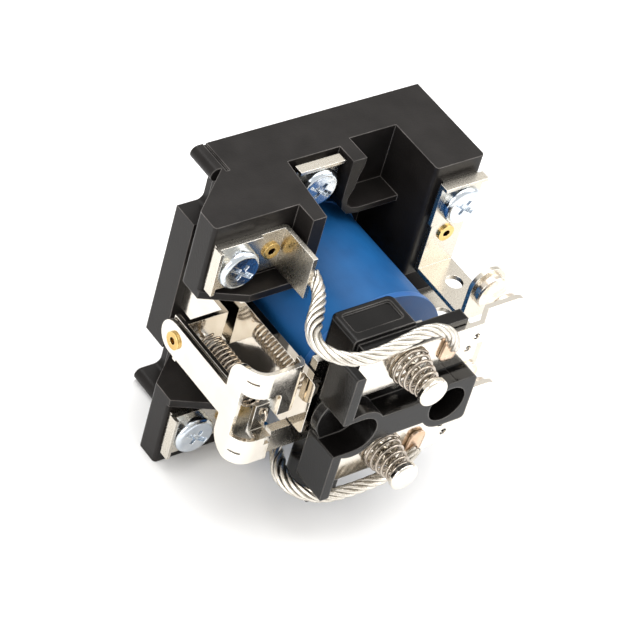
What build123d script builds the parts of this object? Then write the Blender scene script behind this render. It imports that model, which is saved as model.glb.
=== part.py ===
"""Open two-pole power relay: moulded base, iron circuit, coil, armature, contacts, braids and terminals.

Frame: origin at the centre of the mounting face, +X to the fixed-contact side, -Y away from the panel,
+Z up across the two poles, which are mirror images about Z = 0. Millimetres.
"""
from build123d import *
import math
import os

# ---- driving dimensions -----------------------------------------------------------------------------
BODY_W = 63.6            # across the moulded base, X
BODY_H = 63.2            # across the two poles, Z
PLATE_T = 6.1            # mounting plate thickness
PLATE_LEFT = -23.2       # left end of the mounting plate
NOTCH_D = 6.0            # depth of the mounting notches
NOTCH_LOW = 16.6         # inner side of a mounting notch, from the mid plane
NOTCH_HIGH = 28.6        # outer side of a mounting notch, from the mid plane
NOTCH_R = 1.5            # corner radius in a notch

POLE_FLOOR = 13.8        # inner end of a terminal block, from the mid plane
LEFT_SEAT_Y = -21.4      # face that carries the left terminals
RIGHT_SEAT_Y = -22.9     # face that carries the right terminals
LEFT_BACK_Y = -16.2      # outer back corner of the left block
SLANT_X = -21.0          # end of the slanted back wall of the left block
SLANT_Y = -7.3
WALL_TIP_Y = -26.3       # front end of the wall between left terminals and coil
WALL_X = (-12.5, -9.4)   # that wall's two sides
RECESS_X = (-7.6, 5.0)   # coil terminal recess in the end faces
RECESS_Y = -10.3
DIVIDER_T = 3.3          # wall between the recess and the contact chamber, at its outer end
CHAMBER_Y = -8.9         # back of the contact chamber's open end
CHAMBER_FRONT = -15.0    # front of the wall round the contact chamber
CHAMBER_FLOOR = 16.7     # coil side of the contact chamber's floor, from the mid plane
CHAMBER_WALL = 1.4
BEAD_R = 1.5             # rounded bead on the flange outside each mounting notch
BEAD_LEN = 7.3
EDGE_R = 0.4             # moulded edge rounding
ARM_X = 19.8             # inner side of the right wall
ARM_LOW = 3.0            # inner end of the right wall, from the mid plane
LEDGE_T = 1.8            # barrier ledge under the left terminals
LEDGE_FRONT = -26.0

STRIP_T = 1.0            # terminal strip thickness
STRIP_H = 10.0           # terminal strip width
LEFT_STRIP_Z = 22.4      # centre height of the left strips
LEFT_STRIP_X = (-31.0, -14.3)
TAB_LEN = 9.6            # bent tab that takes the braid
RIGHT_STRIP_X = (22.4, 31.0)
RIGHT_STRIP_TOP = 27.6
SHELF_Z = 4.0            # lower face of the fixed contact's shelf
FIXED_LEG_Y = -38.0      # back of the upturned leg that carries the fixed contact
LEG_TOP = 16.4

CONTACT_Z = 11.65        # contact, pin and moving arm centre height
CONTACT_X = 26.0
CONTACT_R = 3.7
CONTACT_T = 1.9
CONTACT_GAP = 3.5
SCREW_R = 4.4            # terminal screw head
SCREW_HEAD_T = 2.3
SCREW_SHANK_R = 1.9
SCREW_LEN = 7.5          # shank below the head
SADDLE_T = 1.0
LEFT_SCREW_X = -26.4
RIGHT_SCREW_X = 26.2
RIGHT_SCREW_Z = 23.0
LEFT_RIVET_X = -17.6
RIGHT_RIVET_Z = 13.6
RIVET_R = 1.9
RIVET_HOLE_R = 0.8
RIVET_HEAD_T = 0.5
RIVET_LEN = 5.0

FRAME_T = 1.7            # magnet frame plate
FRAME_H = 15.5           # magnet frame width, Z
FRAME_X = -18.9          # outer face of the side leg
FRAME_FRONT = -40.2      # shoulders of the side leg, where the armature's slot rests
NOSE_FRONT = -45.2       # front of the nose that passes through the armature's slot
NOSE_LOW = -5.5          # lower side of the nose; its top is flush with the leg
COIL_X = 0.8
COIL_R = 16.6
WRAP_T = 0.35            # tape round the winding
FLANGE_R = 17.0
COIL_BACK = -9.3         # back of the winding
COIL_FRONT = -36.9       # front of the winding
FLANGE_T = 1.3
CORE_R = 6.0
CORE_FACE = -38.3
BORE_CLEAR = 0.15        # core to bobbin bore
BOBBIN_WALL = 1.2

ARMATURE_T = 1.8
HINGE_GAP = 0.1          # armature to the shoulders of the frame's side leg
SLOT_CLEAR = 0.35        # armature's slot round the frame's nose
ARMATURE_X = (-23.6, 9.4)
ARMATURE_H = 20.8
EAR_LOW = -11.7          # lower end of the ear that carries the bracket

BAR_T = 2.9              # crossbar web
BAR_FRONT = -49.2        # front of the web
BASE_X = (-11.5, 7.2)    # foot of the crossbar on the armature
BASE_H = 17.0
BAR_X = (-12.7, 12.2)
BAR_H = 35.6
FRONT_Y = -53.9          # front of the crossbar's walls and pockets
CHEEK_X = (-17.5, -15.3)
CHEEK_OUT = 16.5
CHEEK_IN = 4.2
POCKET_R = 4.3
POCKET_WALL = 1.6
RIGHT_POCKET_X = 8.9
LEFT_POCKET_X = -12.6
MID_BAR_Z = 3.2
HOOD_R = 17.6            # inner radius of the hood over the coil end
HOOD_TOP = 19.0
HOOD_X = (-13.8, 1.0)
HOOD_BACK = -38.4
GUARD_X = (-13.8, -6.5)  # deeper guard under the lower hood
GUARD_LOW = -25.6

PIN_X = -1.5
PIN_R = 1.3
PIN_HEAD_R = 3.2
PIN_HEAD_T = 1.3
PIN_HEAD_Y = -57.7       # back of the pin head
SLIDE_CLEAR = 0.05       # moving arm on its pin
ARM_T = 1.2
ARM_BACK = -49.35        # back face of the moving arm
ARM_H = 9.4
ARM_LEFT = -14.6
JOG_X = (15.5, 19.0)     # where the moving arm steps back towards the fixed contact
SPRING_WIRE = 0.7
CONE_R = (4.1, 2.3)      # conical spring's mean radius at the arm and at the pin head
CONE_TURNS = 5.5

BRACKET_T = 1.0
BRACKET_X = -32.0        # outer face of the retaining bracket's long arm
BRACKET_ARM_H = 7.4
BRACKET_BACK = -14.2
EYELET_Y = -18.4
RING_H = 24.0
RING_START = -35.4
RING_BEND_R = 4.2
RING_END_R = 1.6
RING_END_X = -20.2
RING_LOW_X = -24.2       # right end of the ring below the mid plane
WINDOW_H = 11.6
WINDOW_X = -24.6
WINDOW_BACK = -39.6
SLIT_L = 2.6
SLIT_W = 0.45
SLIT_Z = 9.3
HOOK_TAB = (-27.6, -24.4)
HOOK_TAB_Y = -39.4       # back of the tab that takes the spring's front hook
ANCHOR_T = 1.0
ANCHOR_X = -30.6         # outer face of the anchor strip behind the bracket's arm
ANCHOR_END = -34.2
TAB_Y = -18.6            # front of the spring tab
TAB_X = (-29.6, -20.2)
SPRING_X = -25.2
SPRING_Z = -1.2
SPRING_R = 2.4           # return spring's mean radius
RETURN_WIRE = 0.6
RETURN_TURNS = 15

BRAID_R = 1.5

TOP = BODY_H / 2
RIGHT = BODY_W / 2
LEFT = -BODY_W / 2


# ---- shape helpers ----------------------------------------------------------------------------------
def block(x, y, z):
    """Box between two corners: each argument is a (low, high) pair."""
    size = (x[1] - x[0], y[1] - y[0], z[1] - z[0])
    centre = ((x[0] + x[1]) / 2, (y[0] + y[1]) / 2, (z[0] + z[1]) / 2)
    return Pos(*centre) * Box(*size)


def rod_y(x, z, r, y0, y1):
    """Round bar along Y."""
    return Pos(x, (y0 + y1) / 2, z) * Rot(90, 0, 0) * Cylinder(r, abs(y1 - y0))


def rod_z(x, y, r, z0, z1):
    """Round bar along Z."""
    return Pos(x, y, (z0 + z1) / 2) * Cylinder(r, abs(z1 - z0))


def rod_x(y, z, r, x0, x1):
    """Round bar along X."""
    return Pos((x0 + x1) / 2, y, z) * Rot(0, 90, 0) * Cylinder(r, abs(x1 - x0))


def prism_z(points, z0, z1):
    """Polygon in plan carried from z0 to z1."""
    face = make_face(Polyline(*points, close=True))
    return Pos(0, 0, z0) * extrude(face, z1 - z0)


def plate_y(outline, y0, y1):
    """A closed outline of (x, z) points as a plate between y0 and y1."""
    face = make_face(Polyline(*[(x, 0, z) for x, z in outline], close=True))
    return Pos(0, y0, 0) * extrude(face, amount=y1 - y0, dir=(0, 1, 0))


def mirrored(shape):
    """The other pole's copy."""
    return mirror(shape, about=Plane.XY)


def both(shape):
    return shape + mirrored(shape)


# ---- moulded base -----------------------------------------------------------------------------------
def moulded_body():
    """One phenolic moulding: mounting plate, four terminal blocks, contact chambers and barriers."""
    plate = block((PLATE_LEFT, RIGHT), (-PLATE_T, 0), (-TOP, TOP))
    notch = block((PLATE_LEFT - 1, PLATE_LEFT + NOTCH_D), (-PLATE_T - 1, 1), (NOTCH_LOW, NOTCH_HIGH))
    inner = [e for e in notch.edges().filter_by(Axis.Y) if e.center().X > PLATE_LEFT]
    body = plate - both(fillet(inner, NOTCH_R))
    bead = rod_y(PLATE_LEFT + BEAD_R, TOP - BEAD_R, BEAD_R, -BEAD_LEN, 0)
    flange_end = block((PLATE_LEFT - 1, PLATE_LEFT + BEAD_R), (-PLATE_T - 1, 1), (TOP - 2 * BEAD_R, TOP + 1))
    groove = block((PLATE_LEFT + 2.6, PLATE_LEFT + 3.4), (-BEAD_LEN - 1, 1), (TOP - 0.4, TOP + 1))
    neck = block((PLATE_LEFT + BEAD_R, SLANT_X + 3), (-BEAD_LEN, -PLATE_T + 0.5), (NOTCH_HIGH, TOP))
    body = body - both(flange_end) + both(bead + neck)
    body += both(left_block())
    body += both(end_block())
    body += both(right_wall())
    body -= both(groove)
    for x, z, y in screw_places():
        body -= rod_y(x, z, SCREW_SHANK_R + 0.05, y + 1, y + SCREW_LEN + 1)
    for x, z, y in rivet_places():
        body -= rod_y(x, z, RIVET_R + 0.05, y - 1, y + RIVET_LEN + 0.5)
    return body


def left_block():
    """Block for one left terminal, with its slanted back and the barrier ledge under the strip."""
    plan = [
        (LEFT, LEFT_BACK_Y), (LEFT, LEFT_SEAT_Y), (WALL_X[0], LEFT_SEAT_Y), (WALL_X[0], WALL_TIP_Y),
        (WALL_X[1], WALL_TIP_Y), (RECESS_X[0], RECESS_Y), (RECESS_X[0], -PLATE_T + 0.5),
        (SLANT_X, -PLATE_T + 0.5), (SLANT_X, SLANT_Y),
    ]
    lump = prism_z(plan, POLE_FLOOR, TOP)
    corners = [e for e in lump.edges().filter_by(Axis.Z) if e.center().X < LEFT + 0.1]
    lump = fillet(corners, 2 * EDGE_R)
    coil_room = rod_y(COIL_X, 0, FLANGE_R + 0.6, -60, -PLATE_T - FRAME_T)
    ledge_plan = [(LEFT, LEFT_SEAT_Y + 1), (LEFT, LEFT_SEAT_Y), (-23.0, LEDGE_FRONT), (WALL_X[1], LEDGE_FRONT),
                  (WALL_X[1], LEFT_SEAT_Y + 1)]
    ledge = prism_z(ledge_plan, POLE_FLOOR, POLE_FLOOR + LEDGE_T)
    return lump + ledge - coil_room


def end_block():
    """Solid end of the moulding behind the coil terminal, and the walled contact chamber beside it."""
    floor = CHAMBER_FLOOR
    root = -PLATE_T + 0.5
    back = block((RECESS_X[0], ARM_X), (CHAMBER_Y, root), (floor + CHAMBER_WALL, TOP))
    recess_back = block((RECESS_X[0] - 0.5, RECESS_X[1] + 0.5), (RECESS_Y, root), (floor + 1.9, TOP))
    x = RECESS_X[1]
    w = CHAMBER_WALL
    t = DIVIDER_T
    outline = [
        (x, TOP), (x + t, TOP), (x + t, TOP - 2.2), (x + t - 0.7, TOP - 4.6), (x + 0.9 + w, TOP - 7.6),
        (x + w, TOP - 10.2), (x + w + 0.3, floor + 3.0), (x + w + 1.6, floor + w + 0.5), (x + w + 3.6, floor + w),
        (ARM_X + 1, floor + w), (ARM_X + 1, floor), (x + 5.0, floor), (x + 2.2, floor + 0.5),
        (x + 0.6, floor + 2.2), (x, floor + 4.4),
    ]
    return back + recess_back + plate_y(outline, CHAMBER_FRONT, root)


def right_wall():
    """Thick wall that carries one fixed terminal."""
    wall = block((ARM_X, RIGHT), (RIGHT_SEAT_Y, -PLATE_T + 0.5), (ARM_LOW, TOP))
    front = [e for e in wall.edges().filter_by(Axis.Z) if e.center().Y < RIGHT_SEAT_Y + 0.1]
    return fillet(front, 2 * EDGE_R)


def screw_places():
    """Axis (x, z) and strip face y of the four power terminal screws."""
    places = []
    for s in (1, -1):
        places.append((LEFT_SCREW_X, s * LEFT_STRIP_Z, LEFT_SEAT_Y - STRIP_T))
        places.append((RIGHT_SCREW_X, s * RIGHT_SCREW_Z, RIGHT_SEAT_Y - STRIP_T))
        places.append((COIL_TERM_X, s * COIL_TERM_Z, RECESS_Y - STRIP_T))
    return places


def rivet_places():
    places = []
    for s in (1, -1):
        places.append((LEFT_RIVET_X, s * LEFT_STRIP_Z, LEFT_SEAT_Y - STRIP_T))
        places.append((RIGHT_SCREW_X + 0.4, s * RIGHT_RIVET_Z, RIGHT_SEAT_Y - STRIP_T))
    return places


COIL_TERM_X = -1.0
COIL_TERM_Z = 25.6


# ---- terminals --------------------------------------------------------------------------------------
def left_terminal():
    """Plated strip across the left block, with a tab bent forward for the braid."""
    z = (LEFT_STRIP_Z - STRIP_H / 2, LEFT_STRIP_Z + STRIP_H / 2)
    seat = LEFT_SEAT_Y
    strip = block(LEFT_STRIP_X, (seat - STRIP_T, seat), z)
    tab_x = (LEFT_STRIP_X[1] - STRIP_T, LEFT_STRIP_X[1])
    tab = block(tab_x, (seat - STRIP_T - TAB_LEN, seat), z)
    part = strip + tab
    outer = [e for e in part.edges().filter_by(Axis.Z) if abs(e.center().Y - seat) < 0.01
             and abs(e.center().X - LEFT_STRIP_X[1]) < 0.01]
    part = fillet(outer, STRIP_T * 0.9)
    part -= rod_y(LEFT_SCREW_X, LEFT_STRIP_Z, SCREW_SHANK_R + 0.05, seat - 3, seat + 1)
    part -= rod_y(LEFT_RIVET_X, LEFT_STRIP_Z, RIVET_R - 0.45, seat - 3, seat + 1)
    return part


def right_terminal():
    """Plated strip down the right wall, bent forward as a shelf and up again behind the fixed contact."""
    seat = RIGHT_SEAT_Y
    strip = block(RIGHT_STRIP_X, (seat - STRIP_T, seat), (SHELF_Z, RIGHT_STRIP_TOP))
    shelf = block(RIGHT_STRIP_X, (FIXED_LEG_Y - STRIP_T, seat), (SHELF_Z, SHELF_Z + STRIP_T))
    leg_y = (FIXED_LEG_Y - STRIP_T, FIXED_LEG_Y)
    half = (RIGHT_STRIP_X[1] - RIGHT_STRIP_X[0]) / 2
    mid = (RIGHT_STRIP_X[1] + RIGHT_STRIP_X[0]) / 2
    leg = block(RIGHT_STRIP_X, leg_y, (SHELF_Z, LEG_TOP - half))
    leg += rod_y(mid, LEG_TOP - half, half, *leg_y)
    part = strip + shelf + leg
    part -= rod_z(mid + 0.5, (seat + FIXED_LEG_Y) / 2 + 0.5, 1.9, SHELF_Z - 1, SHELF_Z + 2)
    part -= rod_y(RIGHT_SCREW_X, RIGHT_SCREW_Z, SCREW_SHANK_R + 0.05, seat - 3, seat + 1)
    part -= rod_y(RIGHT_SCREW_X + 0.4, RIGHT_RIVET_Z, RIVET_R - 0.45, seat - 3, seat + 1)
    return part


def fixed_contact():
    """Contact button on the front of the upturned leg."""
    y = FIXED_LEG_Y - STRIP_T
    button = rod_y(CONTACT_X + 0.7, CONTACT_Z, CONTACT_R, y - CONTACT_T, y)
    rim = [e for e in button.edges().filter_by(GeomType.CIRCLE) if e.center().Y < y - 1]
    return chamfer(rim, 0.3)


def coil_terminal():
    """Small strip in the end recess that joins the coil lead to its screw."""
    strip = block((COIL_TERM_X - 3.6, COIL_TERM_X + 3.6), (RECESS_Y - STRIP_T, RECESS_Y),
                  (COIL_TERM_Z - 4.6, COIL_TERM_Z + 4.0))
    return strip - rod_y(COIL_TERM_X, COIL_TERM_Z, SCREW_SHANK_R + 0.05, RECESS_Y - 3, RECESS_Y + 1)


def screw(x, z, y):
    """Binding-head terminal screw with a cross slot; its saddle lies between head and strip."""
    under = y - SADDLE_T
    head = rod_y(x, z, SCREW_R, under - SCREW_HEAD_T, under)
    head = fillet([e for e in head.edges().filter_by(GeomType.CIRCLE) if e.center().Y < under - 1], 1.0)
    shank = rod_y(x, z, SCREW_SHANK_R, under, under + SCREW_LEN)
    slot = Pos(x, under - SCREW_HEAD_T, z) * Rot(0, 35, 0) * Box(6.4, 1.6, 1.1)
    cross = Pos(x, under - SCREW_HEAD_T, z) * Rot(0, 125, 0) * Box(3.6, 2.0, 1.0)
    return head + shank - slot - cross


def saddle(x, z, y, side):
    """Square wire clamp with one turned-up lip, on the strip under the screw head."""
    half = SCREW_R + 0.9
    plate = block((x - half, x + half), (y - SADDLE_T, y), (z - half, z + half))
    if side == "left":
        lip = block((x - half, x - half + 0.8), (y - SADDLE_T - 1.2, y), (z - half, z + half))
    else:
        lip = block((x - half, x + half), (y - SADDLE_T - 1.2, y), (z + side * (half - 0.4) - 0.4,
                                                                   z + side * (half - 0.4) + 0.4))
    return plate + lip - rod_y(x, z, SCREW_SHANK_R + 0.1, y - 4, y + 1)


def saddles():
    group = []
    for s in (1, -1):
        group.append(saddle(LEFT_SCREW_X, s * LEFT_STRIP_Z, LEFT_SEAT_Y - STRIP_T, "left"))
        group.append(saddle(RIGHT_SCREW_X, s * RIGHT_SCREW_Z, RIGHT_SEAT_Y - STRIP_T, s))
        group.append(saddle(COIL_TERM_X, s * COIL_TERM_Z, RECESS_Y - STRIP_T, s))
    return group


def rivet(x, z, y):
    """Tubular brass rivet through strip and moulding."""
    head = rod_y(x, z, RIVET_R, y - RIVET_HEAD_T, y)
    shank = rod_y(x, z, RIVET_R - 0.5, y, y + RIVET_LEN)
    return head + shank - rod_y(x, z, RIVET_HOLE_R, y - 2, y + RIVET_LEN + 1)


# ---- iron circuit and coil --------------------------------------------------------------------------
def magnet_frame():
    """L-shaped iron plate: back leg behind the coil, side leg forward to the armature's hinge edge."""
    half = FRAME_H / 2
    back = block((FRAME_X, COIL_X + CORE_R + 3), (-PLATE_T - FRAME_T, -PLATE_T), (-half, half))
    leg = (FRAME_X, FRAME_X + FRAME_T)
    side = block(leg, (FRAME_FRONT, -PLATE_T), (-half, half))
    nose = block(leg, (NOSE_FRONT, FRAME_FRONT + 1), (NOSE_LOW, half))
    nose = chamfer([e for e in nose.edges().filter_by(Axis.X) if e.center().Y < NOSE_FRONT + 0.1], 0.5)
    frame = back + side + nose
    return frame - rod_y(COIL_X, 0, CORE_NECK_R + 0.02, -PLATE_T - FRAME_T - 1, -PLATE_T + 1)


CORE_NECK_R = 4.0


def coil_core():
    """Iron core, its neck staked into the frame's back leg."""
    rod = rod_y(COIL_X, 0, CORE_R, CORE_FACE, -PLATE_T - FRAME_T)
    neck = rod_y(COIL_X, 0, CORE_NECK_R, -PLATE_T - FRAME_T, -PLATE_T - 0.1)
    face = chamfer([e for e in rod.edges().filter_by(GeomType.CIRCLE) if e.center().Y < CORE_FACE + 1], 0.5)
    return face + neck


def coil_bobbin():
    """Spool: two flanges and a tube on the core."""
    back = COIL_BACK + FLANGE_T
    front = COIL_FRONT - FLANGE_T
    tube_r = CORE_R + BORE_CLEAR + BOBBIN_WALL
    spool = rod_y(COIL_X, 0, tube_r, front, back)
    spool += rod_y(COIL_X, 0, FLANGE_R, COIL_BACK, back)
    spool += rod_y(COIL_X, 0, FLANGE_R, front, COIL_FRONT)
    spool -= rod_y(COIL_X, 0, CORE_R + BORE_CLEAR, front - 1, back + 1)
    return spool


def coil_wrap():
    """Tape round the winding, between the spool's flanges."""
    sleeve = rod_y(COIL_X, 0, COIL_R, COIL_FRONT + 0.02, COIL_BACK - 0.02)
    return sleeve - rod_y(COIL_X, 0, COIL_R - WRAP_T + 0.01, COIL_FRONT - 1, COIL_BACK + 1)


def coil_winding():
    """Wound coil under its wrap of tape."""
    tube_r = CORE_R + BORE_CLEAR + BOBBIN_WALL
    roll = rod_y(COIL_X, 0, COIL_R - WRAP_T, COIL_FRONT + 0.02, COIL_BACK - 0.02)
    return roll - rod_y(COIL_X, 0, tube_r + 0.02, COIL_FRONT - 1, COIL_BACK + 1)


# ---- armature and its retaining bracket -------------------------------------------------------------
def armature():
    """Iron plate in front of the coil, slotted round the frame's nose, its ears joined to the bracket."""
    y = (ARMATURE_BACK - ARMATURE_T, ARMATURE_BACK)
    plate_left = FRAME_X + FRAME_T + SLOT_CLEAR
    plate = block((plate_left, ARMATURE_X[1]), y, (-ARMATURE_H / 2, ARMATURE_H / 2))
    part = plate + block((ARMATURE_X[0], plate_left + 3), y, (EAR_LOW, NOSE_LOW - SLOT_CLEAR))
    for s in (1, -1):
        part -= rod_y(PIN_X, s * CROSS_RIVET_Z, CROSS_RIVET_R + 0.02, y[0] - 1, y[1] + 1)
    return part


CROSS_RIVET_R = 1.4
CROSS_RIVET_Z = 5.6
ARMATURE_BACK = FRAME_FRONT - HINGE_GAP
ARMATURE_FRONT = ARMATURE_BACK - ARMATURE_T


def bracket():
    """Stamped bracket: long arm along the side, widened to a windowed ring that wraps round the front."""
    t = BRACKET_T
    r = RING_BEND_R
    x0 = BRACKET_X
    half = BRACKET_ARM_H / 2
    front = ARMATURE_FRONT - t
    arm = block((x0, x0 + t), (RING_START - 1, EYELET_Y + 0.7), (-half, half))
    arm += rod_x(EYELET_Y + 0.7, 0, half, x0, x0 + t)
    outer = block((x0, RING_END_X), (front, RING_START), (-RING_H / 2, RING_H / 2))
    outer = fillet(vertical_edges(outer, x0, front), r)
    outer = fillet(vertical_edges(outer, RING_END_X, front), RING_END_R)
    outer = fillet([e for e in outer.edges().filter_by(Axis.X) if e.center().Y > RING_START - 0.1], 4.6)
    hollow = block((x0 + t, RING_END_X - t), (front + t, RING_START + 5), (-RING_H, RING_H))
    hollow = fillet(vertical_edges(hollow, x0 + t, front + t), r - t)
    hollow = fillet(vertical_edges(hollow, RING_END_X - t, front + t), RING_END_R - t)
    ring = outer - hollow - block((RING_END_X - 2, RING_END_X + 1), (front + 2.6, 0), (-RING_H, RING_H))
    ring -= block((RING_LOW_X, RING_END_X + 1), (front - 1, 0), (-RING_H, -WINDOW_H / 2 - 1.5))
    window = block((x0 - 1, WINDOW_X), (front - 1, WINDOW_BACK), (-WINDOW_H / 2, WINDOW_H / 2))
    window = fillet([e for e in window.edges().filter_by(Axis.Y)], 1.2)
    ring -= window
    ring -= block((WINDOW_X - 1, RING_END_X + 1), (front - 1, 0), (-WINDOW_H / 2 - 2, 0))
    for s in (1, -1):
        spot = Pos(x0 + r * 0.22, front + r * 0.42, s * SLIT_Z) * Rot(0, 0, -55)
        ring -= spot * Box(SLIT_L, 3.2, SLIT_W)
    shelf = block(HOOK_TAB, (ARMATURE_FRONT - 0.9 * t, HOOK_TAB_Y), (-WINDOW_H / 2 - t, -WINDOW_H / 2))
    tab = block(HOOK_TAB, (HOOK_TAB_Y - t, HOOK_TAB_Y), (-WINDOW_H / 2 - t, SPRING_Z + 2.0))
    tab -= rod_y(SPRING_X, SPRING_Z, 0.7, HOOK_TAB_Y - 3, HOOK_TAB_Y + 3)
    part = arm + ring + shelf + tab
    return part - rod_x(EYELET_Y, 0, RIVET_R - 0.45, x0 - 1, x0 + 3)


def vertical_edges(shape, x, y):
    """Vertical edges of a shape that stand at one place in plan."""
    return [e for e in shape.edges().filter_by(Axis.Z)
            if abs(e.center().X - x) < 0.01 and abs(e.center().Y - y) < 0.01]


def anchor():
    """Plated strip behind the bracket's arm, joined at the back to the tab that holds the return spring."""
    h = BRACKET_ARM_H / 2 - 0.1
    strip = block((ANCHOR_X, ANCHOR_X + ANCHOR_T), (ANCHOR_END, EYELET_Y + 3.0), (-h, h))
    tab = block((ANCHOR_X, TAB_X[1]), (TAB_Y, TAB_Y + ANCHOR_T), (SPRING_Z - 5.0, h))
    foot = block((TAB_X[1] - ANCHOR_T, TAB_X[1]), (TAB_Y, -PLATE_T), (SPRING_Z - 5.0, h))
    hole = rod_y(SPRING_X, SPRING_Z, 0.8, TAB_Y - 2, TAB_Y + 3)
    return strip + tab + foot - hole


def eyelet():
    """Brass eyelet in the bracket's arm; its inner rim is the stop against the anchor strip."""
    outer = BRACKET_X - RIVET_HEAD_T
    inner = ANCHOR_X - STOP_GAP
    body = rod_x(EYELET_Y, 0, RIVET_R - 0.5, outer, inner)
    body += rod_x(EYELET_Y, 0, RIVET_R, outer, BRACKET_X)
    body += rod_x(EYELET_Y, 0, RIVET_R - 0.1, BRACKET_X + BRACKET_T, inner)
    return body - rod_x(EYELET_Y, 0, RIVET_HOLE_R, outer - 1, inner + 1)


STOP_GAP = 0.03


def return_spring():
    """Close-wound extension spring from the fixed tab to the bracket's tab, as a plain tube with hooks."""
    front = HOOK_TAB_Y
    back = TAB_Y
    coil = rod_y(SPRING_X, SPRING_Z, SPRING_R + RETURN_WIRE / 2, back - 2.2, front + 2.6)
    coil -= rod_y(SPRING_X, SPRING_Z, SPRING_R - RETURN_WIRE / 2, back, front)
    for y0, y1 in ((back - 2.3, back + ANCHOR_T + 0.5), (front + 2.7, front - BRACKET_T - 0.5)):
        coil += rod_y(SPRING_X, SPRING_Z, RETURN_WIRE / 2, y0, y1)
    coil += block((SPRING_X - SPRING_R, SPRING_X + SPRING_R), (back - 2.8, back - 2.2),
                  (SPRING_Z - 0.3, SPRING_Z + 0.3))
    coil += block((SPRING_X - SPRING_R, SPRING_X + SPRING_R), (front + 2.6, front + 3.2),
                  (SPRING_Z - 0.3, SPRING_Z + 0.3))
    return coil


# ---- crossbar ---------------------------------------------------------------------------------------
def crossbar():
    """Moulded carrier on the armature: foot, web behind the arms, hoods over the coil, cheeks and sockets."""
    web_y = (BAR_FRONT, BAR_FRONT + BAR_T)
    bar = block(BAR_X, web_y, (-BAR_H / 2, BAR_H / 2))
    window = block((3.2, BAR_X[1] + 1), (web_y[0] - 1, web_y[1] + 1), (6.6, BAR_H / 2 - 2.2))
    bar -= both(window)
    bar += block(BASE_X, (web_y[0], ARMATURE_FRONT), (-BASE_H / 2, BASE_H / 2))
    bar += hood(HOOD_X, HOOD_TOP)
    bar += mirrored(hood(HOOD_X, HOOD_TOP)) + mirrored(hood(GUARD_X, -GUARD_LOW))
    cheek = block(CHEEK_X, (FRONT_Y, web_y[1] + 0.6), (CHEEK_IN, CHEEK_OUT))
    cheek = fillet(cheek.edges().filter_by(Axis.Y), EDGE_R)
    link = block((CHEEK_X[0] + EDGE_R, BAR_X[0] + 1), web_y, (CHEEK_IN + EDGE_R, CHEEK_OUT - EDGE_R))
    bar += both(cheek + link)
    bar += block((LEFT_POCKET_X, RIGHT_POCKET_X), (FRONT_Y, web_y[1]), (-MID_BAR_Z, MID_BAR_Z))
    bar += right_socket(web_y[1])
    bar += rod_y(LEFT_POCKET_X, 0, POCKET_R + POCKET_WALL, FRONT_Y, web_y[1])
    bar += block((CHEEK_X[0] + EDGE_R, LEFT_POCKET_X), web_y, (-CHEEK_IN - 1, CHEEK_IN + 1))
    bar -= rod_y(RIGHT_POCKET_X, 0, POCKET_R, FRONT_Y - 1, web_y[0] + 0.8)
    bar -= rod_y(LEFT_POCKET_X, 0, POCKET_R, FRONT_Y - 1, web_y[0] + 0.8)
    bar -= block((CHEEK_X[0] - 2, LEFT_POCKET_X), (FRONT_Y - 1, web_y[0] + 0.8), (-POCKET_R, POCKET_R))
    for s in (1, -1):
        bar -= rod_y(PIN_X, s * CONTACT_Z, PIN_R + 0.01, web_y[0] - 1, web_y[1] + 1)
        bar -= rod_y(PIN_X, s * CROSS_RIVET_Z, CROSS_RIVET_R + 0.02, FRONT_Y - 1, ARMATURE_FRONT + 1)
    return bar


def hood(x, top):
    """Rounded block that reaches back from the web over the coil's front flange."""
    lump = block(x, (BAR_FRONT + 0.5, HOOD_BACK), (6.0, top))
    lump = fillet(lump.edges().filter_by(Axis.Z), 1.6)
    lump = fillet([e for e in lump.edges() if abs(e.center().Z - top) < 0.01], 0.8)
    lump -= rod_y(COIL_X, 0, HOOD_R, -80, 0)
    tray = block((x[0] + 1.6, x[1] - 1.6), (BAR_FRONT + BAR_T + 1.4, HOOD_BACK - 1.4), (top - 0.5, top + 1))
    lump -= fillet(tray.edges().filter_by(Axis.Z), 0.8)
    keep = block((x[0] - 1, x[1] + 1), (BAR_FRONT + BAR_T - 0.6, HOOD_BACK + 1), (9.2, 40))
    return lump & keep


def right_socket(back):
    """Round socket for a blow-out magnet, its outer corners squared."""
    r = POCKET_R + POCKET_WALL
    boss = rod_y(RIGHT_POCKET_X, 0, r, FRONT_Y, back)
    square = block((RIGHT_POCKET_X, RIGHT_POCKET_X + r), (FRONT_Y, back), (-r, r))
    square = fillet(square.edges().filter_by(Axis.Y), 1.0)
    corner = block((RIGHT_POCKET_X - r, RIGHT_POCKET_X + 1), (FRONT_Y, back), (0, r))
    return boss + square + fillet(corner.edges().filter_by(Axis.Y), 1.0)


def cross_rivet(s):
    """Rivet that fixes the crossbar to the armature."""
    front = BAR_FRONT if CROSS_RIVET_Z > MID_BAR_Z + CROSS_RIVET_R else FRONT_Y
    return rod_y(PIN_X, s * CROSS_RIVET_Z, CROSS_RIVET_R, front, ARMATURE_BACK)


# ---- moving contacts --------------------------------------------------------------------------------
def contact_pin():
    """Headed pin pressed into the web; the moving arm and its spring ride on it."""
    shank = rod_y(PIN_X, CONTACT_Z, PIN_R, PIN_HEAD_Y, BAR_FRONT + BAR_T)
    head = rod_y(PIN_X, CONTACT_Z, PIN_HEAD_R, PIN_HEAD_Y - PIN_HEAD_T, PIN_HEAD_Y)
    head = fillet([e for e in head.edges().filter_by(GeomType.CIRCLE) if e.center().Y < PIN_HEAD_Y - 1], 0.5)
    return shank + head


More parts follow.
